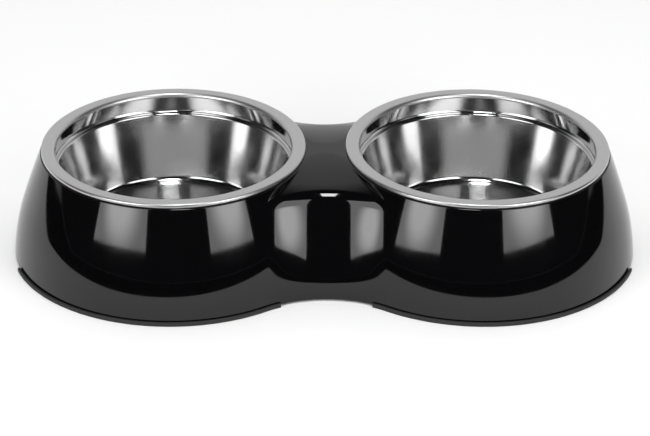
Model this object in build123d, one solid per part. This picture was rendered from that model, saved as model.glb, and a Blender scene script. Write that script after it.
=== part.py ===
# Double pet bowl: one moulded shell, two lift-out steel bowls and four rubber strips (mm).
# +X runs from the left bowl to the right one, +Z is up, z = 0 is the floor under the middle.
import os
from math import acos, asin, atan2, cos, hypot, radians, sin, sqrt, tan

from build123d import *

# bowls
rim_radius = 72.5         # outside of the rolled rim
rim_top = 63.0            # height of the rim above the floor
rim_width = 8.1           # from the rim's outside to the mouth
rim_gap = 22.0            # between the two rims
sheet = 0.7               # thickness of the steel
roll_bend = 0.4           # inside bends of the rolled edge
roll_straight = 0.3       # upright between those bends
roll_return = 3.0         # width of the roll's flat underside
mouth_bend = 1.3          # inside bend at the mouth
neck_depth = 11.6         # straight neck below the rim
neck_flare = 1.9          # widening of the neck over that depth
step_in = 2.6             # width of the stacking step under the neck
step_drop = 0.7           # fall of that step
step_round = 0.8          # hollow corner of the step
step_bend = 0.2           # inside bend of its edge
bowl_depth = 50.7         # rim to floor, inside
floor_inset = 12.4        # from the mouth to the edge of the flat floor
floor_round = 4.0         # bend from wall to floor
disc_inset = 1.7          # from the edge of the floor to the raised disc
disc_rise = 0.5
disc_slope = 1.2          # width of the disc's sloped edge
disc_foot_round = 0.8
disc_edge_round = 1.2

# shell
lip_margin = 0.5          # lip of the shell beyond the rim
lip_round = 0.6           # rounded edge of the lip
foot_round = 0.6          # rounded lower edge
hole_round = 0.5          # rounded edge of each bowl's hole
wall = 3.0                # moulding thickness
hole_clearance = 0.9      # between the bowl's neck, where it is widest, and the hole
foot_spread = 16.45       # from the lip out to the lobe's lower edge
foot_turn = radians(12.2) # how much steeper the lobe's wall is there than the line from foot to lip
lip_turn = radians(6.1)   # how much flatter it is at the lip than that line
waist_inset = 26.05       # from the lobe in to the waist, at the lower edge
waist_lean = radians(5.0) # lean of the waist's wall there
waist_bend = 70.0         # upright bend of that wall at its foot
waist_turn = 18.0         # height where that bend ends
waist_rise = 336.0        # flatter bend from there up to the shoulder
shoulder_round = 10.0     # from the waist's wall to the top of the bridge
crown_bend = 160.0        # front to back crown of the bridge
crown_flat = 6.0          # half width of the flat in the middle of the crown

# rubber strips
strip_height = 2.4
strip_proud = 1.5         # beyond the shell's wall
strip_sole = 0.8          # between the floor and the shell's lower edge
strip_play = 0.1          # between the wall and the strip's outer lip
strip_gap = 24.5          # from the middle of the waist to each strip's inner end
strip_side_gap = 31.0     # from the lobe's widest place, forward or back, to its outer end
strip_lip = 1.4           # thickness of the strip's inner lip
strip_lip_gap = 0.5       # between the wall and that lip

flat = 1e-4               # height within which an edge counts as level

half_pitch = rim_radius + rim_gap / 2
roll_round = roll_bend + sheet
lip_top = rim_top - 2 * roll_round - roll_straight
lip_radius = rim_radius + lip_margin
mouth_radius = rim_radius - rim_width
neck_radius = mouth_radius + neck_flare
hole_radius = neck_radius + sheet + hole_clearance
floor_radius = mouth_radius - floor_inset
disc_radius = floor_radius - disc_inset
foot_radius = lip_radius + foot_spread
waist_half = foot_radius - waist_inset


def meet(a, ra, b, rb):
    """Right-hand meeting point of two circles."""
    dx, dz = b[0] - a[0], b[1] - a[1]
    gap = hypot(dx, dz)
    along = (gap**2 + ra**2 - rb**2) / (2 * gap)
    off = sqrt(ra**2 - along**2)
    points = [
        (a[0] + (along * dx - s * off * dz) / gap, a[1] + (along * dz + s * off * dx) / gap)
        for s in (1, -1)
    ]
    return max(points)


def direction(a, b):
    return atan2(b[1] - a[1], b[0] - a[0])


def polar(centre, reach, angle):
    return (centre[0] + reach * cos(angle), centre[1] + reach * sin(angle))


def two_bends(foot, foot_lean, top, top_lean):
    """Two bends that run smoothly into each other: their centres and radii, and the lean where they meet."""
    x, z = top[0] - foot[0], top[1] - foot[1]
    along = z * (cos(foot_lean) + cos(top_lean)) - x * (sin(foot_lean) + sin(top_lean))
    spare = 2 - 2 * cos(top_lean - foot_lean)
    span = x**2 + z**2
    tangent = span / (along + sqrt(along**2 + spare * span))
    run = (x + tangent * (sin(foot_lean) + sin(top_lean)), z - tangent * (cos(foot_lean) + cos(top_lean)))
    lean = atan2(-run[0], run[1])
    low, high = tangent / tan((lean - foot_lean) / 2), tangent / tan((top_lean - lean) / 2)
    return polar(foot, -low, foot_lean), low, polar(top, -high, top_lean), high, lean


# centres of the bends, as (distance from the axis or middle plane, height)
wall_line = atan2(foot_spread, lip_top - strip_sole)
wall_low, wall_bend, wall_high, wall_rise, wall_lean = two_bends(
    (foot_radius, strip_sole), wall_line - foot_turn, (lip_radius, lip_top), wall_line + lip_turn
)
waist_low = polar((waist_half, strip_sole), -waist_bend, waist_lean)
waist_mid = asin((waist_turn - waist_low[1]) / waist_bend)
waist_high = polar(waist_low, waist_bend - waist_rise, waist_mid)
crown_centre = (0.0, lip_top - sqrt(crown_bend**2 - crown_flat**2))
shoulder_centre = meet(waist_high, waist_rise - shoulder_round, crown_centre, crown_bend - shoulder_round)
shoulder_start = direction(waist_high, shoulder_centre)
shoulder_end = direction(crown_centre, shoulder_centre)
crown_end = acos(crown_flat / crown_bend)


def lobe_at(z, inset):
    """Radius of a lobe at a height: a bend at the foot, then a flatter one up to the lip."""
    centre, bend = wall_low, wall_bend - inset
    if z > wall_low[1] + bend * sin(wall_lean):
        centre, bend = wall_high, wall_rise - inset
    return centre[0] + sqrt(bend**2 - (z - centre[1]) ** 2)


def waist_runs(inset, foot):
    """Half width and height of the waist: up its wall, over the shoulder, along the crown."""
    runs = [
        [
            (waist_low, waist_bend, foot, waist_mid, 4),
            (waist_high, waist_rise, waist_mid, shoulder_start, 4),
        ],
        [(shoulder_centre, shoulder_round, shoulder_start, shoulder_end, 4)],
        [(crown_centre, crown_bend, shoulder_end, crown_end, 3)],
    ]
    paths = []
    for arcs in runs:
        path = [polar(arcs[0][0], arcs[0][1] - inset, arcs[0][2])]
        for centre, bend, first, last, steps in arcs:
            turns = [first + (last - first) * (i + 1) / steps for i in range(steps)]
            path += [polar(centre, bend - inset, turn) for turn in turns]
        paths.append(path)
    return paths


def arc(centre, radius, first, last, z):
    turns = (first, (first + last) / 2, last)
    return ThreePointArc(*[(*polar(centre, radius, turn), z) for turn in turns])


def outline(z, lobe, waist):
    """Two round lobes joined by a hollow waist that runs smoothly into both."""
    hollow = (half_pitch**2 + waist**2 - lobe**2) / (2 * (lobe - waist))
    centre_y = waist + hollow
    turn = atan2(centre_y, half_pitch)
    pi = radians(180)
    stops = [turn - pi, -pi / 2, 0.0, pi / 2, pi - turn]
    edges = [arc((half_pitch, 0), lobe, a, b, z) for a, b in zip(stops, stops[1:])]
    edges.append(arc((0, centre_y), hollow, -turn, turn - pi, z))
    edges += [arc((-half_pitch, 0), lobe, a + pi, b + pi, z) for a, b in zip(stops, stops[1:])]
    edges.append(arc((0, -centre_y), hollow, pi - turn, turn, z))
    return Wire(edges)


def skin(inset, foot):
    """Solid inside the shell's outside face (inset 0) or its inside face (inset = wall)."""
    paths = waist_runs(inset, foot)
    lofts = [Solid.make_loft([outline(z, lobe_at(z, inset), d) for d, z in path]) for path in paths]
    return lofts[0].fuse(*lofts[1:])


def level_edges(solid, z):
    """Edges that lie flat at one height."""
    boxes = [(edge, edge.bounding_box()) for edge in solid.edges()]
    return [edge for edge, box in boxes if abs(box.min.Z - z) < flat and abs(box.max.Z - z) < flat]


def make_shell():
    outside = skin(0.0, waist_lean)
    outside = outside.fillet(lip_round, level_edges(outside, lip_top))
    outside = outside.fillet(foot_round, level_edges(outside, strip_sole))
    shell = outside - skin(wall, waist_lean / 2)
    for side in (-1, 1):
        shell -= Pos(side * half_pitch, 0, lip_top) * Cylinder(hole_radius, 4 * wall)
    holes = [e for e in level_edges(shell, lip_top) if e.geom_type == GeomType.CIRCLE]
    return shell.fillet(hole_round, holes)


def rounded(points):
    """Edges along (x, z, corner radius) points."""
    edges = []
    last = Vector(points[0][0], 0, points[0][1])
    for before, here, after in zip(points, points[1:], points[2:]):
        corner = Vector(here[0], 0, here[1])
        u = (corner - Vector(before[0], 0, before[1])).normalized()
        v = (Vector(after[0], 0, after[1]) - corner).normalized()
        angle = acos(max(-1.0, min(1.0, u.dot(v))))
        cut = here[2] * tan(angle / 2)
        start, end = corner - u * cut, corner + v * cut
        middle = corner + (v - u).normalized() * (here[2] / cos(angle / 2) - here[2])
        edges += [Line(last, start), ThreePointArc(start, middle, end)]
        last = end
    edges.append(Line(last, Vector(points[-1][0], 0, points[-1][1])))
    return edges


def left_of(points, gap):
    """The same path, a gap to its left."""
    runs = []
    for a, b in zip(points, points[1:]):
        length = hypot(b[0] - a[0], b[1] - a[1])
        runs.append(((b[0] - a[0]) / length, (b[1] - a[1]) / length))
    moved = [(points[0][0] - runs[0][1] * gap, points[0][1] + runs[0][0] * gap, 0.0)]
    for (ux, uz), (vx, vz), here in zip(runs, runs[1:], points[1:]):
        scale = gap / (1 + ux * vx + uz * vz)
        turn = 1 if ux * vz - uz * vx > 0 else -1
        moved.append((here[0] - (uz + vz) * scale, here[1] + (ux + vx) * scale, here[2] - turn * gap))
    moved.append((points[-1][0] - runs[-1][1] * gap, points[-1][1] + runs[-1][0] * gap, 0.0))
    return moved


def make_bowl(side):
    neck_bottom = rim_top - neck_depth
    floor = rim_top - bowl_depth
    wall_top = (neck_radius - step_in, neck_bottom - step_drop)
    bend_centre = (floor_radius, floor + floor_round)
    span = hypot(wall_top[0] - bend_centre[0], wall_top[1] - bend_centre[1])
    lean = acos(floor_round / span) - direction(bend_centre, wall_top)
    wall_foot = floor_radius + floor_round * tan(radians(45) - lean / 2)
    path = [
        (rim_radius - roll_return, lip_top, 0.0),
        (rim_radius, lip_top, roll_round),
        (rim_radius, rim_top, roll_round),
        (mouth_radius, rim_top, mouth_bend + sheet),
        (neck_radius, neck_bottom, step_round),
        (*wall_top, step_bend + sheet),
        (wall_foot, floor, floor_round),
        (disc_radius, floor, disc_foot_round),
        (disc_radius - disc_slope, floor + disc_rise, disc_edge_round),
        (0.0, floor + disc_rise, 0.0),
    ]
    hidden = left_of(path, sheet)
    ends = [Line((path[i][0], 0, path[i][1]), (hidden[i][0], 0, hidden[i][1])) for i in (0, -1)]
    section = Face(Wire(rounded(path) + rounded(hidden) + ends))
    return Pos(side * half_pitch, 0, 0) * revolve(section, Axis.Z)


def strip_ring(outer, inner, bottom, top):
    faces = [Face(outline(bottom, foot_radius + grow, waist_half + grow)) for grow in (outer, inner)]
    return extrude(faces[0], top - bottom, (0, 0, 1)) - extrude(faces[1], top - bottom, (0, 0, 1))


def make_strip(side, face):
    """Edging with a channel for the shell's lower edge, along one quarter of the outline."""
    lip_outer = -wall - strip_lip_gap
    body = strip_ring(strip_proud, lip_outer - strip_lip, 0, strip_height)
    channel = strip_ring(strip_play, lip_outer, strip_sole, 2 * strip_height)
    reach = 4 * half_pitch
    middle = (side * (strip_gap + reach / 2), face * (strip_side_gap + reach / 2), 0)
    quarter = Pos(*middle) * Box(reach, reach, reach)
    return (body & quarter) - channel


os.makedirs("parts", exist_ok=True)
pieces = {"shell": make_shell()}
for name, side in (("left", -1), ("right", 1)):
    pieces[f"{name}_bowl"] = make_bowl(side)
    for end, face in (("front", -1), ("back", 1)):
        pieces[f"{name}_{end}_rubber_strip"] = make_strip(side, face)
for name, piece in pieces.items():
    export_step(piece, f"parts/{name}.step")
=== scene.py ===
import bpy
import bmesh
from math import acos, asin, atan2, cos, hypot, pi, radians, sin, sqrt, tan
from mathutils import Matrix, Vector
from mathutils.geometry import tessellate_polygon


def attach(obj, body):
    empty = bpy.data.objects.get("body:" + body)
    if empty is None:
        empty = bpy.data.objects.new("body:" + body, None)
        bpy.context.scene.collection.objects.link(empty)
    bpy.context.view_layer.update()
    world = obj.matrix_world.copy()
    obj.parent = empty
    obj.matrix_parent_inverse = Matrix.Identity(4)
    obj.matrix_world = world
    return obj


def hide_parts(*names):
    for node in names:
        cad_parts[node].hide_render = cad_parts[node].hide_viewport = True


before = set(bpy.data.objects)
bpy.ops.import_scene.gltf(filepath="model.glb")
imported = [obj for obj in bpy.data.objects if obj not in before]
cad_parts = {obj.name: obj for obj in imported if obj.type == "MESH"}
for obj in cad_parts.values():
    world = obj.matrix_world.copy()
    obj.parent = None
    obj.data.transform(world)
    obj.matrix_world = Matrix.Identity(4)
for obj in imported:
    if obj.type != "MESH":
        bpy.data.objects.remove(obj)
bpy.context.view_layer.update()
mm = 0.001
flush = 1e-9          # heights closer than this count as level, in mm
onAxis = 1e-6         # points nearer the axis than this lie on it, in mm
heightDigits = 5      # heights that agree to this many digits are one row
srgb = dict(toe=0.04045, slope=12.92, offset=0.055, power=2.4)
print("frame loaded")


def linear(hexColour):
    # sRGB hex to the linear colour that shaders take
    parts = [int(hexColour[i:i + 2], 16) / 255 for i in (1, 3, 5)]
    offset = srgb["offset"]
    curved = [((p + offset) / (1 + offset)) ** srgb["power"] for p in parts]
    return [p / srgb["slope"] if p <= srgb["toe"] else c for p, c in zip(parts, curved)] + [1.0]


def addNode(tree, kind, settings=None, links=None):
    # settings go to the node, or to its input sockets by name or number; links are socket: (node, output)
    node = tree.nodes.new(kind)
    for key, value in (settings or {}).items():
        if isinstance(key, int) or key in node.inputs:
            node.inputs[key].default_value = value
        else:
            setattr(node, key, value)
    for key, (source, output) in (links or {}).items():
        tree.links.new(source.outputs[output], node.inputs[key])
    return node


def newMaterial(name):
    material = bpy.data.materials.new(name)
    material.use_nodes = True
    tree = material.node_tree
    tree.nodes.clear()
    shader = addNode(tree, "ShaderNodeBsdfPrincipled")
    addNode(tree, "ShaderNodeOutputMaterial", links={"Surface": (shader, "BSDF")})
    return material, tree, shader


def addObject(name, bm, materials):
    mesh = bpy.data.meshes.new(name)
    bm.to_mesh(mesh)
    bm.free()
    thing = bpy.data.objects.new(name, mesh)
    bpy.context.collection.objects.link(thing)
    for material in materials:
        mesh.materials.append(material)
    return thing


# Melamine moulding: pressed in a polished steel die, so black and glassy, with a faint waviness
melamineLook = dict(colour="#060607", ior=1.5, gloss=0.045, haze=0.03, hazeFrom=0.35, hazeTo=0.75, smear=9.0,
                    smearDetail=4.0, wave=26.0, waveDetail=1.0, waveDepth=0.010)
melamine, tree, shader = newMaterial("black melamine moulded")
place = addNode(tree, "ShaderNodeTexCoord")
smear = addNode(tree, "ShaderNodeTexNoise", {"Scale": 1 / (melamineLook["smear"] * mm),
                "Detail": melamineLook["smearDetail"]}, {"Vector": (place, "Object")})
haze = addNode(tree, "ShaderNodeMapRange", {"From Min": melamineLook["hazeFrom"],
               "From Max": melamineLook["hazeTo"], "To Min": melamineLook["gloss"],
               "To Max": melamineLook["gloss"] + melamineLook["haze"]}, {"Value": (smear, "Fac")})
wave = addNode(tree, "ShaderNodeTexNoise", {"Scale": 1 / (melamineLook["wave"] * mm),
               "Detail": melamineLook["waveDetail"]}, {"Vector": (place, "Object")})
ripple = addNode(tree, "ShaderNodeBump", {"Strength": 1.0, "Distance": melamineLook["waveDepth"] * mm},
                 {"Height": (wave, "Fac")})
tree.links.new(haze.outputs["Result"], shader.inputs["Roughness"])
tree.links.new(ripple.outputs["Normal"], shader.inputs["Normal"])
shader.inputs["Base Color"].default_value = linear(melamineLook["colour"])
shader.inputs["IOR"].default_value = melamineLook["ior"]


steelGrain = dict(ringDetail=3.0, ringRough=0.7, cloudDetail=3.0, blendFrom=0.1, blendTo=0.45,
                  quarterTurn=0.25)
flatten = (1.0, 1.0, 0.0)


def steel(name, look):
    # pressed stainless steel: the lathe and the buffing wheel leave fine rings round the bowl's axis
    material, tree, shader = newMaterial(name)
    place = addNode(tree, "ShaderNodeTexCoord")
    flatPlace = addNode(tree, "ShaderNodeVectorMath", {"operation": "MULTIPLY", 1: flatten},
                        {0: (place, "Object")})
    radius = addNode(tree, "ShaderNodeVectorMath", {"operation": "LENGTH"}, {0: (flatPlace, "Vector")})
    split = addNode(tree, "ShaderNodeSeparateXYZ", links={"Vector": (place, "Object")})
    ringPlace = addNode(tree, "ShaderNodeMath", {"operation": "ADD"},
                        {0: (radius, "Value"), 1: (split, "Z")})
    rings = addNode(tree, "ShaderNodeTexNoise", {"noise_dimensions": "1D", "Scale": 1 / (look["ring"] * mm),
                    "Detail": steelGrain["ringDetail"], "Roughness": steelGrain["ringRough"]},
                    {"W": (ringPlace, "Value")})
    cloud = addNode(tree, "ShaderNodeTexNoise", {"Scale": 1 / (look["cloud"] * mm),
                    "Detail": steelGrain["cloudDetail"]}, {"Vector": (place, "Object")})
    blend = addNode(tree, "ShaderNodeMath", {"operation": "MULTIPLY"},
                    {0: (rings, "Fac"), 1: (cloud, "Fac")})
    rough = addNode(tree, "ShaderNodeMapRange", {"From Min": steelGrain["blendFrom"],
                    "From Max": steelGrain["blendTo"], "To Min": look["rough"] - look["spread"],
                    "To Max": look["rough"] + look["spread"]}, {"Value": (blend, "Value")})
    groove = addNode(tree, "ShaderNodeBump", {"Strength": 1.0, "Distance": look["groove"] * mm},
                     {"Height": (rings, "Fac")})
    tree.links.new(rough.outputs["Result"], shader.inputs["Roughness"])
    tree.links.new(groove.outputs["Normal"], shader.inputs["Normal"])
    shader.inputs["Base Color"].default_value = linear(look["colour"])
    shader.inputs["Metallic"].default_value = 1.0
    # the rings blur a mirrored edge across them, up and down the wall, and leave it sharp along them
    grain = addNode(tree, "ShaderNodeTangent", {"direction_type": "RADIAL", "axis": "Z"})
    tree.links.new(grain.outputs["Tangent"], shader.inputs["Tangent"])
    shader.inputs["Anisotropic"].default_value = look["grain"]
    shader.inputs["Anisotropic Rotation"].default_value = steelGrain["quarterTurn"]
    return material


rimLook = dict(colour="#d2d2d2", rough=0.36, spread=0.05, grain=0.3, ring=0.5, groove=0.0006, cloud=8.0)
neckLook = dict(colour="#d0d0d0", rough=0.06, spread=0.015, grain=0.4, ring=0.6, groove=0.0001, cloud=10.0)
wallLook = dict(colour="#cccccc", rough=0.13, spread=0.03, grain=0.3, ring=0.6, groove=0.0002, cloud=9.0)
discLook = dict(colour="#c4c4c4", rough=0.22, spread=0.03, grain=0.8, ring=0.5, groove=0.0008, cloud=7.0)
backLook = dict(colour="#c3c3c3", rough=0.30, spread=0.06, grain=0.3, ring=0.8, groove=0.0008, cloud=12.0)
rimSteel = steel("stainless steel satin", rimLook)
neckSteel = steel("stainless steel polished", neckLook)
wallSteel = steel("stainless steel buffed", wallLook)
discSteel = steel("stainless steel turned", discLook)
backSteel = steel("stainless steel as pressed", backLook)

# Moulded rubber: dull black, a fine grit from a blasted mould breaks up the light
rubberLook = dict(colour="#1b1b1c", ior=1.52, rough=0.62, grit=0.5, gritDetail=2.0, gritDepth=0.03,
                  pitting=0.6)
rubber, tree, shader = newMaterial("black rubber moulded")
place = addNode(tree, "ShaderNodeTexCoord")
grit = addNode(tree, "ShaderNodeTexNoise", {"Scale": 1 / (rubberLook["grit"] * mm),
               "Detail": rubberLook["gritDetail"]}, {"Vector": (place, "Object")})
pitted = addNode(tree, "ShaderNodeBump", {"Strength": rubberLook["pitting"],
                 "Distance": rubberLook["gritDepth"] * mm}, {"Height": (grit, "Fac")})
tree.links.new(pitted.outputs["Normal"], shader.inputs["Normal"])
shader.inputs["Base Color"].default_value = linear(rubberLook["colour"])
shader.inputs["IOR"].default_value = rubberLook["ior"]
shader.inputs["Roughness"].default_value = rubberLook["rough"]
print("materials ready")

# Sizes in mm, the same as the solids
stand = dict(halfPitch=83.5, lipTop=60.5, lipRadius=73.0, lipRound=0.6, holeRadius=67.9, holeRound=0.5,
             wall=3.0, footHeight=0.8, footRadius=89.45, footRound=0.6, footTurn=12.2, lipTurn=6.1,
             waistHalf=63.4, waistLean=5.0, waistBend=70.0, waistTurn=18.0, waistRise=336.0,
             shoulderRound=10.0, crownBend=160.0, crownFlat=6.0)
# rows of faces along each stretch of the shell; the four waist stretches run from the foot to the crown
standRows = dict(lobe=36, waist=72, hole=160, outside=(12, 18, 16, 22), inside=(6, 10, 8, 8), foot=6, lip=8,
                 holeEdge=5)


def heading(a, b):
    return atan2(b[1] - a[1], b[0] - a[0])


def circlesMeet(a, ra, b, rb):
    # the outer of the two points where circles meet
    dx, dz = b[0] - a[0], b[1] - a[1]
    gap = hypot(dx, dz)
    along = (gap ** 2 + ra ** 2 - rb ** 2) / (2 * gap)
    off = sqrt(ra ** 2 - along ** 2)
    return max((a[0] + (along * dx - s * off * dz) / gap, a[1] + (along * dz + s * off * dx) / gap)
               for s in (1, -1))


def polar(centre, reach, angle):
    return (centre[0] + reach * cos(angle), centre[1] + reach * sin(angle))


def twoBends(foot, footLean, top, topLean):
    # two bends that run smoothly into each other: centres, radii and the lean where they meet
    x, z = top[0] - foot[0], top[1] - foot[1]
    along = z * (cos(footLean) + cos(topLean)) - x * (sin(footLean) + sin(topLean))
    spare = 2 - 2 * cos(topLean - footLean)
    span = x ** 2 + z ** 2
    tangent = span / (along + sqrt(along ** 2 + spare * span))
    run = (x + tangent * (sin(footLean) + sin(topLean)), z - tangent * (cos(footLean) + cos(topLean)))
    lean = atan2(-run[0], run[1])
    low, high = tangent / tan((lean - footLean) / 2), tangent / tan((topLean - lean) / 2)
    return polar(foot, -low, footLean), low, polar(top, -high, topLean), high, lean


foot, lip = (stand["footRadius"], stand["footHeight"]), (stand["lipRadius"], stand["lipTop"])
wallLine = atan2(foot[0] - lip[0], lip[1] - foot[1])
wallLow, wallBend, wallHigh, wallRise, wallLean = twoBends(
    foot, wallLine - radians(stand["footTurn"]), lip, wallLine + radians(stand["lipTurn"]))
waistLean = radians(stand["waistLean"])
waistLow = polar((stand["waistHalf"], stand["footHeight"]), -stand["waistBend"], waistLean)
waistMid = asin((stand["waistTurn"] - waistLow[1]) / stand["waistBend"])
waistHigh = polar(waistLow, stand["waistBend"] - stand["waistRise"], waistMid)
crownCentre = (0.0, stand["lipTop"] - sqrt(stand["crownBend"] ** 2 - stand["crownFlat"] ** 2))
shoulderCentre = circlesMeet(waistHigh, stand["waistRise"] - stand["shoulderRound"],
                             crownCentre, stand["crownBend"] - stand["shoulderRound"])
shoulderStart = heading(waistHigh, shoulderCentre)
shoulderEnd = heading(crownCentre, shoulderCentre)
crownEnd = acos(stand["crownFlat"] / stand["crownBend"])
waistArcs = [(waistLow, stand["waistBend"], waistLean, waistMid),
             (waistHigh, stand["waistRise"], waistMid, shoulderStart),
             (shoulderCentre, stand["shoulderRound"], shoulderStart, shoulderEnd),
             (crownCentre, stand["crownBend"], shoulderEnd, crownEnd)]


def lobeAt(z, inset):
    centre, bend = wallLow, wallBend - inset
    if z > wallLow[1] + bend * sin(wallLean):
        centre, bend = wallHigh, wallRise - inset
    return centre[0] + sqrt(bend ** 2 - (z - centre[1]) ** 2)


def waistAt(z, inset):
    for centre, bend, first, last in waistArcs:
        reach = bend - inset
        if z <= centre[1] + reach * sin(last) + flush:
            return centre[0] + sqrt(max(reach ** 2 - (z - centre[1]) ** 2, 0.0))
    return centre[0] + sqrt(max(reach ** 2 - (z - centre[1]) ** 2, 0.0))


def spread(first, last, steps):
    return [first + (last - first) * i / steps for i in range(steps + 1)]


def outlineRing(z, lobe, waist):
    half = stand["halfPitch"]
    hollow = (half ** 2 + waist ** 2 - lobe ** 2) / (2 * (lobe - waist))
    hollowY = waist + hollow
    turn = atan2(hollowY, half)
    stops = [turn - pi, -pi / 2, 0.0, pi / 2, pi - turn]
    ring = []
    for side in (0.0, pi):
        centre = (half * cos(side), 0.0)
        for first, last in zip(stops, stops[1:]):
            ring += [polar(centre, lobe, a + side) for a in spread(first, last, standRows["lobe"])[:-1]]
        centre = (0.0, hollowY * cos(side))
        bends = spread(-turn, turn - pi, standRows["waist"])[:-1]
        ring += [polar(centre, hollow, a + side) for a in bends]
    return [Vector((x, y, z)) * mm for x, y in ring]


def circleRing(side, radius, z):
    centre = (side * stand["halfPitch"], 0.0)
    spots = [polar(centre, radius, a) for a in spread(0.0, 2 * pi, standRows["hole"])[:-1]]
    return [Vector((x, y, z)) * mm for x, y in spots]


def sewRings(bm, rings, closed=True, smooth=True):
    # quads between rows of vertices that run side by side
    for low, high in zip(rings, rings[1:]):
        count = len(low)
        for i in range(count if closed else count - 1):
            j = (i + 1) % count
            face = bm.faces.new((low[i], low[j], high[j], high[i]))
            face.smooth = smooth


def fillFlat(bm, loops):
    # flat face inside the first loop with the other loops left open
    everyVert = [v for loop in loops for v in loop]
    for corners in tessellate_polygon([[v.co for v in loop] for loop in loops]):
        bm.faces.new([everyVert[i] for i in corners]).smooth = False


def waistHeights(inset, steps):
    heights = []
    for (centre, bend, first, last), count in zip(waistArcs, steps):
        heights += [centre[1] + (bend - inset) * sin(a) for a in spread(first, last, count)]
    return heights


lipZ = stand["lipTop"] - stand["lipRound"]
lipR = wallHigh[0] + sqrt((wallRise - stand["lipRound"]) ** 2 - (lipZ - wallHigh[1]) ** 2)
lipLean = heading(wallHigh, (lipR, lipZ))


def outerRadius(z):
    # the lobe's wall with its rounded foot and lip
    if z > lipZ + stand["lipRound"] * sin(lipLean):
        return lipR + sqrt(max(stand["lipRound"] ** 2 - (z - lipZ) ** 2, 0.0))
    foot = stand["footRound"]
    footZ = stand["footHeight"] + foot
    if z < footZ:
        return lobeAt(footZ, 0.0) - foot + sqrt(max(foot ** 2 - (footZ - z) ** 2, 0.0))
    return lobeAt(z, 0.0)


def outerWaist(z):
    foot = stand["footRound"]
    footZ = stand["footHeight"] + foot
    if z < footZ:
        return waistAt(footZ, 0.0) - foot + sqrt(max(foot ** 2 - (footZ - z) ** 2, 0.0))
    return waistAt(z, 0.0)


def makeShell():
    bm = bmesh.new()
    foot, lip = stand["footHeight"], stand["lipTop"]
    rounds = [foot + stand["footRound"] * (1 - cos(a)) for a in spread(0.0, pi / 2, standRows["foot"])]
    wallFrom = rounds[-1]
    rounds += [lip - stand["lipRound"] * (1 - sin(a)) for a in spread(lipLean, pi / 2, standRows["lip"])]
    heights = [z for z in waistHeights(0.0, standRows["outside"]) if wallFrom < z < lip]
    heights = sorted(set(round(z, heightDigits) for z in heights + rounds))
    outer = []
    for z in heights:
        ring = outlineRing(z, outerRadius(z), max(outerWaist(z), stand["crownFlat"]))
        outer.append([bm.verts.new(p) for p in ring])
    sewRings(bm, outer)
    inset = stand["wall"]
    roof = lip - inset
    heights = [foot] + [z for z in waistHeights(inset, standRows["inside"]) if foot < z < roof] + [roof]
    heights = sorted(set(round(z, heightDigits) for z in heights))
    inner = []
    for z in heights:
        inner.append([bm.verts.new(p) for p in outlineRing(z, lobeAt(z, inset), waistAt(z, inset))])
    sewRings(bm, [ring[::-1] for ring in inner])
    sewRings(bm, [inner[0], outer[0]], smooth=False)
    holes = []
    hole, bend = stand["holeRadius"], stand["holeRound"]
    edge = [(hole + bend * (1 - cos(a)), lip - bend * (1 - sin(a)))
            for a in spread(pi / 2, 0.0, standRows["holeEdge"])]
    for side in (-1, 1):
        rings = [[bm.verts.new(p) for p in circleRing(side, r, z)] for r, z in edge + [(hole, roof)]]
        sewRings(bm, [ring[::-1] for ring in rings])
        holes.append((rings[0], rings[-1]))
    fillFlat(bm, [outer[-1]] + [top for top, low in holes])
    fillFlat(bm, [inner[-1]] + [low for top, low in holes])
    bmesh.ops.recalc_face_normals(bm, faces=bm.faces)
    return addObject("shell_moulding", bm, [melamine])


shellPiece = makeShell()
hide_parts("shell")
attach(shellPiece, "stand")
print("shell built")

# Bowl in mm; its profile runs along the side that shows, from the roll to the middle
bowl = dict(rimRadius=72.5, rimTop=63.0, mouth=64.4, sheet=0.7, rollReturn=3.0, rollRound=1.1,
            mouthRound=2.0, neckDepth=11.6, neckFlare=1.9, stepIn=2.6, stepDrop=0.7, stepRound=0.8,
            stepEdge=0.9, depth=50.7, floorRadius=52.0, floorRound=4.0, discRadius=50.3, discRise=0.5,
            discSlope=1.2, discFoot=0.8, discEdge=1.2, steps=192, arcStep=6.0, fewestSteps=3)
bowlSteels = [rimSteel, neckSteel, wallSteel, discSteel, backSteel]
satin, polished, buffed, turned, pressed = range(len(bowlSteels))
hiddenSide = -1       # stands in for a corner's number on the side that doesn't show


def leftOf(points, gap):
    runs = [Vector((b[0] - a[0], b[1] - a[1])).normalized() for a, b in zip(points, points[1:])]
    moved = [(points[0][0] - runs[0].y * gap, points[0][1] + runs[0].x * gap, 0.0)]
    for u, v, here in zip(runs, runs[1:], points[1:]):
        scale = gap / (1 + u.dot(v))
        turn = 1 if u.cross(v) > 0 else -1
        moved.append((here[0] - (u.y + v.y) * scale, here[1] + (u.x + v.x) * scale, here[2] - turn * gap))
    moved.append((points[-1][0] - runs[-1].y * gap, points[-1][1] + runs[-1].x * gap, 0.0))
    return moved


def roundedPath(points):
    # points along the path with its corners rounded, and the number of the corner that each comes after
    path = [(Vector(points[0][:2]), 0)]
    for n, (before, here, after) in enumerate(zip(points, points[1:], points[2:]), 1):
        corner = Vector(here[:2])
        u = (corner - Vector(before[:2])).normalized()
        v = (Vector(after[:2]) - corner).normalized()
        angle = u.angle(v)
        turn = 1 if u.cross(v) > 0 else -1
        start = corner - u * here[2] * tan(angle / 2)
        centre = start + Vector((-u.y, u.x)) * here[2] * turn
        steps = max(bowl["fewestSteps"], round(angle / radians(bowl["arcStep"])))
        for a in spread(0.0, angle * turn, steps):
            arm = Matrix.Rotation(a, 2) @ (start - centre)
            path.append((centre + arm, n))
    path.append((Vector(points[-1][:2]), len(points) - 2))
    return path


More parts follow.
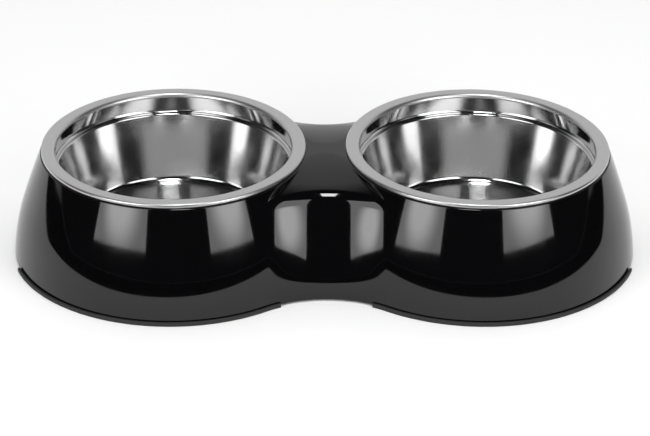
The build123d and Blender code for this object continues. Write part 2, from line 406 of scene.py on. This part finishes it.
def makeBowl(name, side):
    neckBottom = bowl["rimTop"] - bowl["neckDepth"]
    floor = bowl["rimTop"] - bowl["depth"]
    lipTop = stand["lipTop"]
    neck = bowl["mouth"] + bowl["neckFlare"]
    wallTop = (neck - bowl["stepIn"], neckBottom - bowl["stepDrop"])
    bendCentre = (bowl["floorRadius"], floor + bowl["floorRound"])
    span = hypot(wallTop[0] - bendCentre[0], wallTop[1] - bendCentre[1])
    lean = acos(bowl["floorRound"] / span) - heading(bendCentre, wallTop)
    wallFoot = bowl["floorRadius"] + bowl["floorRound"] * tan(radians(45) - lean / 2)
    # radius, height and corner radius
    path = [
        (bowl["rimRadius"] - bowl["rollReturn"], lipTop, 0.0),
        (bowl["rimRadius"], lipTop, bowl["rollRound"]),
        (bowl["rimRadius"], bowl["rimTop"], bowl["rollRound"]),
        (bowl["mouth"], bowl["rimTop"], bowl["mouthRound"]),
        (neck, neckBottom, bowl["stepRound"]),
        (*wallTop, bowl["stepEdge"]),
        (wallFoot, floor, bowl["floorRound"]),
        (bowl["discRadius"], floor, bowl["discFoot"]),
        (bowl["discRadius"] - bowl["discSlope"], floor + bowl["discRise"], bowl["discEdge"]),
        (0.0, floor + bowl["discRise"], 0.0),
    ]
    # the finish up to each corner: rim, neck, wall, then the turned disc
    finishes = [satin, satin, satin, satin, polished, buffed, buffed, turned, turned]
    hidden = leftOf(path, bowl["sheet"])
    bm = bmesh.new()
    front = roundedPath(path)
    back = [(p, hiddenSide) for p, n in roundedPath(hidden)]
    angles = spread(0.0, 2 * pi, bowl["steps"])[:-1]
    rows = []
    for p, n in front + back[::-1]:
        if p.x < onAxis:
            rows.append(([bm.verts.new((0.0, 0.0, p.y * mm))] * len(angles), n))
        else:
            spots = [polar((0.0, 0.0), p.x, a) for a in angles]
            rows.append(([bm.verts.new((x * mm, y * mm, p.y * mm)) for x, y in spots], n))
    rows.append(rows[0])
    for (low, n), (high, m) in zip(rows, rows[1:]):
        count = len(angles)
        if low[0] is low[1] and high[0] is high[1]:
            continue
        for i in range(count):
            j = (i + 1) % count
            corners = list(dict.fromkeys((low[i], low[j], high[j], high[i])))
            face = bm.faces.new(corners)
            face.smooth = True
            face.material_index = pressed if hiddenSide in (n, m) else finishes[m]
    bmesh.ops.recalc_face_normals(bm, faces=bm.faces)
    piece = addObject(name + "_pressing", bm, bowlSteels)
    piece.location.x = side * stand["halfPitch"] * mm
    return piece


for name, side in (("left", -1), ("right", 1)):
    piece = makeBowl(name + "_bowl", side)
    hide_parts(name + "_bowl")
    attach(piece, name + "_dish")
print("bowls built")

# Strip in mm, along one quarter of the shell's lower outline
strip = dict(height=2.4, proud=1.5, sole=0.8, play=0.1, gap=24.5, sideGap=31.0, lip=1.4, lipGap=0.5,
             corner=0.45, cornerSteps=5, waistSteps=24, lobeSteps=120)


def stripPath(grow):
    # along the lower outline from the strip's end at the waist to its end at the lobe's outer side
    half, lobe, waist = stand["halfPitch"], stand["footRadius"] + grow, stand["waistHalf"] + grow
    hollow = (half ** 2 + waist ** 2 - lobe ** 2) / (2 * (lobe - waist))
    hollowY = waist + hollow
    turn = atan2(hollowY, half)
    inner, outer = acos(strip["gap"] / hollow), -asin(strip["sideGap"] / lobe)
    waistPart = [polar((0.0, -hollowY), hollow, a) for a in spread(inner, turn, strip["waistSteps"])]
    lobePart = [polar((half, 0.0), lobe, a) for a in spread(turn - pi, outer, strip["lobeSteps"])]
    return waistPart + lobePart[1:]


def makeStrip(name, side, face):
    outer, top = strip["proud"], strip["height"]
    lipOuter = -stand["wall"] - strip["lipGap"]
    lipInner = lipOuter - strip["lip"]
    bend, sole, play = strip["corner"], strip["sole"], strip["play"]
    # distance beyond the wall, height and corner radius, going round the section
    section = [(lipInner, 0.0, 0.0), (outer, 0.0, bend), (outer, top, bend), (play, top, bend),
               (play, sole, 0.0), (lipOuter, sole, 0.0), (lipOuter, top, bend), (lipInner, top, bend)]
    loop = []
    for before, here, after in zip(section[-1:] + section[:-1], section, section[1:] + section[:1]):
        corner = Vector(here[:2])
        u = (corner - Vector(before[:2])).normalized()
        v = (Vector(after[:2]) - corner).normalized()
        if here[2] == 0.0:
            loop.append(corner)
            continue
        centre = corner + (v - u) * here[2]
        for a in spread(0.0, pi / 2, strip["cornerSteps"]):
            loop.append(centre - v * here[2] * cos(a) + u * here[2] * sin(a))
    bm = bmesh.new()
    rows = []
    for p in loop:
        spots = [(side * x * mm, -face * y * mm, p.y * mm) for x, y in stripPath(p.x)]
        rows.append([bm.verts.new(spot) for spot in spots])
    sewRings(bm, rows + rows[:1], closed=False)
    for end in (0, -1):
        bm.faces.new([row[end] for row in rows]).smooth = False
    bmesh.ops.recalc_face_normals(bm, faces=bm.faces)
    return addObject(name + "_edging", bm, [rubber])


for end, face in (("front", -1), ("back", 1)):
    for name, side in (("left", -1), ("right", 1)):
        node = name + "_" + end + "_rubber_strip"
        piece = makeStrip(node, side, face)
        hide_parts(node)
        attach(piece, "stand")
print("strips built")

# Camera: where the rims, the outlines and the lower edge of the photograph agree
# drop and focal are in pixels
shot = dict(distance=1.3327, azimuth=-1.249, elevation=27.579, roll=0.648, aim=(0.0, 0.0, 0.028),
            drop=17.56, pixels=650, focal=2394.9, sensor=36.0, farthest=50.0)


def makeCamera():
    e, a, r = (radians(shot[k]) for k in ("elevation", "azimuth", "roll"))
    backward = Vector((sin(a) * cos(e), -cos(a) * cos(e), sin(e)))
    right = Vector((cos(a), sin(a), 0.0))
    spot = Vector(shot["aim"]) + backward * shot["distance"]
    up = backward.cross(right)
    forward = (-backward - up * shot["drop"] / shot["focal"]).normalized()
    right, up = right * cos(r) + up * sin(r), up * cos(r) - right * sin(r)
    up = right.cross(forward)
    data = bpy.data.cameras.new("camera")
    data.sensor_width = shot["sensor"]
    data.lens = shot["sensor"] * shot["focal"] / shot["pixels"]
    data.clip_end = shot["farthest"]
    camera = bpy.data.objects.new("camera", data)
    turn = Matrix((right, up, -forward)).transposed()
    camera.matrix_world = Matrix.Translation(spot) @ turn.to_4x4()
    bpy.context.collection.objects.link(camera)
    bpy.context.scene.camera = camera


makeCamera()
print("camera set")

# Studio in m: two soft boxes in front, a small lamp and a fill overhead, a bright backdrop and a pale floor
studio = dict(floorSize=9.0, floorColour="#f2f2f2", floorRough=0.8, floorShine=0.0, backdrop=0.66,
              shade=0.012, backdropFrom=0.22, backdropTo=0.5, ceilingFrom=0.8, ceilingTo=0.9)
softBox = dict(high=1.02, hotHeight=0.27, squash=2.2, core=0.1, reach=0.34, hot=8.2, edge=2.9)
boxFeet = (dict(inner=(-0.37, -0.86), outer=(-1.06, -0.61), low=0.17, outerLow=0.133),
           dict(inner=(0.312, -0.78), outer=(0.92, -0.58), low=0.155, outerLow=0.138))
topLamp = dict(height=1.5, width=0.24, depth=0.5, ahead=0.3, glow=19.0)
fill = dict(height=2.0, halfWidth=2.5, near=-1.0, far=4.0, glow=0.97)
# a black sheet of painted shade round the lit pool, which only the gloss sees
darkCard = dict(colour="#000000", rough=1.0, shine=0.0, middle=0.3, halfWidth=0.55, halfDepth=0.5, near=1.0,
                far=7.0, height=0.0004, steps=48)


def addCard(name, corners, material):
    # a flat sheet of light or shade that the lens doesn't see
    bm = bmesh.new()
    bm.faces.new([bm.verts.new(c) for c in corners])
    card = addObject(name, bm, [material])
    card.visible_camera = False
    card.visible_shadow = False
    return card


def glowing(name):
    material = bpy.data.materials.new(name)
    material.use_nodes = True
    tree = material.node_tree
    tree.nodes.clear()
    glow = addNode(tree, "ShaderNodeEmission")
    addNode(tree, "ShaderNodeOutputMaterial", links={"Surface": (glow, "Emission")})
    return material, tree, glow


def makeFloor():
    half = studio["floorSize"] / 2
    board, tree, shader = newMaterial("painted board")
    shader.inputs["Base Color"].default_value = linear(studio["floorColour"])
    shader.inputs["Roughness"].default_value = studio["floorRough"]
    shader.inputs["Specular IOR Level"].default_value = studio["floorShine"]
    bm = bmesh.new()
    signs = ((-1, -1), (1, -1), (1, 1), (-1, 1))
    bm.faces.new([bm.verts.new((x * half, y * half, 0.0)) for x, y in signs])
    addObject("floor", bm, [board])


def makeSoftBox(foot):
    # brightest at one spot and dimmer towards its edges, as a lamp behind cloth is
    inner, outer = Vector((*foot["inner"], 0.0)), Vector((*foot["outer"], 0.0))
    heights = foot["low"], foot["outerLow"], softBox["high"], softBox["hotHeight"]
    low, outerLow, high, hotHeight = (Vector((0.0, 0.0, z)) for z in heights)
    cloth, tree, glow = glowing("lit cloth")
    place = addNode(tree, "ShaderNodeNewGeometry")
    squash = Vector((1.0, 1.0, softBox["squash"]))
    hot = ((inner + outer) / 2 + hotHeight) * squash
    squashed = addNode(tree, "ShaderNodeVectorMath", {"operation": "MULTIPLY", 1: squash},
                       {0: (place, "Position")})
    away = addNode(tree, "ShaderNodeVectorMath", {"operation": "DISTANCE", 1: hot},
                   {0: (squashed, "Vector")})
    level = addNode(tree, "ShaderNodeMapRange", {"interpolation_type": "SMOOTHSTEP",
                    "From Min": softBox["core"], "From Max": softBox["reach"],
                    "To Min": softBox["hot"], "To Max": softBox["edge"]}, {"Value": (away, "Value")})
    tree.links.new(level.outputs["Result"], glow.inputs["Strength"])
    addCard("soft_box", [inner + low, outer + outerLow, outer + high, inner + high], cloth)


def makeTopLamp():
    cloth, tree, glow = glowing("lit panel")
    glow.inputs["Strength"].default_value = topLamp["glow"]
    x, z = topLamp["width"] / 2, topLamp["height"]
    near, far = (y * topLamp["depth"] / 2 - topLamp["ahead"] for y in (-1, 1))
    addCard("top_lamp", [(-x, near, z), (-x, far, z), (x, far, z), (x, near, z)], cloth)


def makeFill():
    # whitens the floor, and the gloss doesn't mirror it
    cloth, tree, glow = glowing("lit ceiling")
    glow.inputs["Strength"].default_value = fill["glow"]
    x, z, near, far = (fill[k] for k in ("halfWidth", "height", "near", "far"))
    card = addCard("fill", [(-x, near, z), (-x, far, z), (x, far, z), (x, near, z)], cloth)
    card.visible_glossy = False


def makeDarkCard():
    # a black sheet on the floor in front, seen only in the gloss: painted shade that the shell and the steel
    # mirror beyond the lit pool round the object
    cloth, tree, shader = newMaterial("painted shade sheet")
    shader.inputs["Base Color"].default_value = linear(darkCard["colour"])
    shader.inputs["Roughness"].default_value = darkCard["rough"]
    shader.inputs["Specular IOR Level"].default_value = darkCard["shine"]
    bm = bmesh.new()
    rows = []
    for reach in (darkCard["near"], darkCard["far"]):
        wide, deep = darkCard["halfWidth"] * reach, darkCard["halfDepth"] * reach
        turns = spread(0.0, pi, darkCard["steps"])
        spots = [(wide * cos(a), darkCard["middle"] - deep * sin(a), darkCard["height"]) for a in turns]
        rows.append([bm.verts.new(spot) for spot in spots])
    sewRings(bm, rows, closed=False, smooth=False)
    # painted shade in the reflections: the lens, the diffuse light and the shadows skip this black sheet
    card = addObject("painted_shade_sheet", bm, [cloth])
    card.visible_camera = False
    card.visible_diffuse = False
    card.visible_shadow = False


def makeRoom():
    # bright behind, dark in front and overhead
    world = bpy.data.worlds.new("room")
    bpy.context.scene.world = world
    world.use_nodes = True
    tree = world.node_tree
    tree.nodes.clear()
    place = addNode(tree, "ShaderNodeTexCoord")
    split = addNode(tree, "ShaderNodeSeparateXYZ", links={"Vector": (place, "Generated")})
    behind = addNode(tree, "ShaderNodeMapRange", {"From Min": studio["backdropFrom"],
                     "From Max": studio["backdropTo"], "To Min": studio["shade"],
                     "To Max": studio["backdrop"]}, {"Value": (split, "Y")})
    below = addNode(tree, "ShaderNodeMapRange", {"From Min": studio["ceilingFrom"],
                    "From Max": studio["ceilingTo"], "To Min": 1.0, "To Max": studio["shade"]},
                    {"Value": (split, "Z")})
    level = addNode(tree, "ShaderNodeMath", {"operation": "MULTIPLY"},
                    {0: (behind, "Result"), 1: (below, "Result")})
    glow = addNode(tree, "ShaderNodeBackground", links={"Color": (level, "Value")})
    addNode(tree, "ShaderNodeOutputWorld", links={"Surface": (glow, "Background")})


makeFloor()
makeDarkCard()
makeRoom()
makeTopLamp()
makeFill()
for foot in boxFeet:
    makeSoftBox(foot)
bpy.context.scene.view_settings.view_transform = "Standard"
print("studio lit")
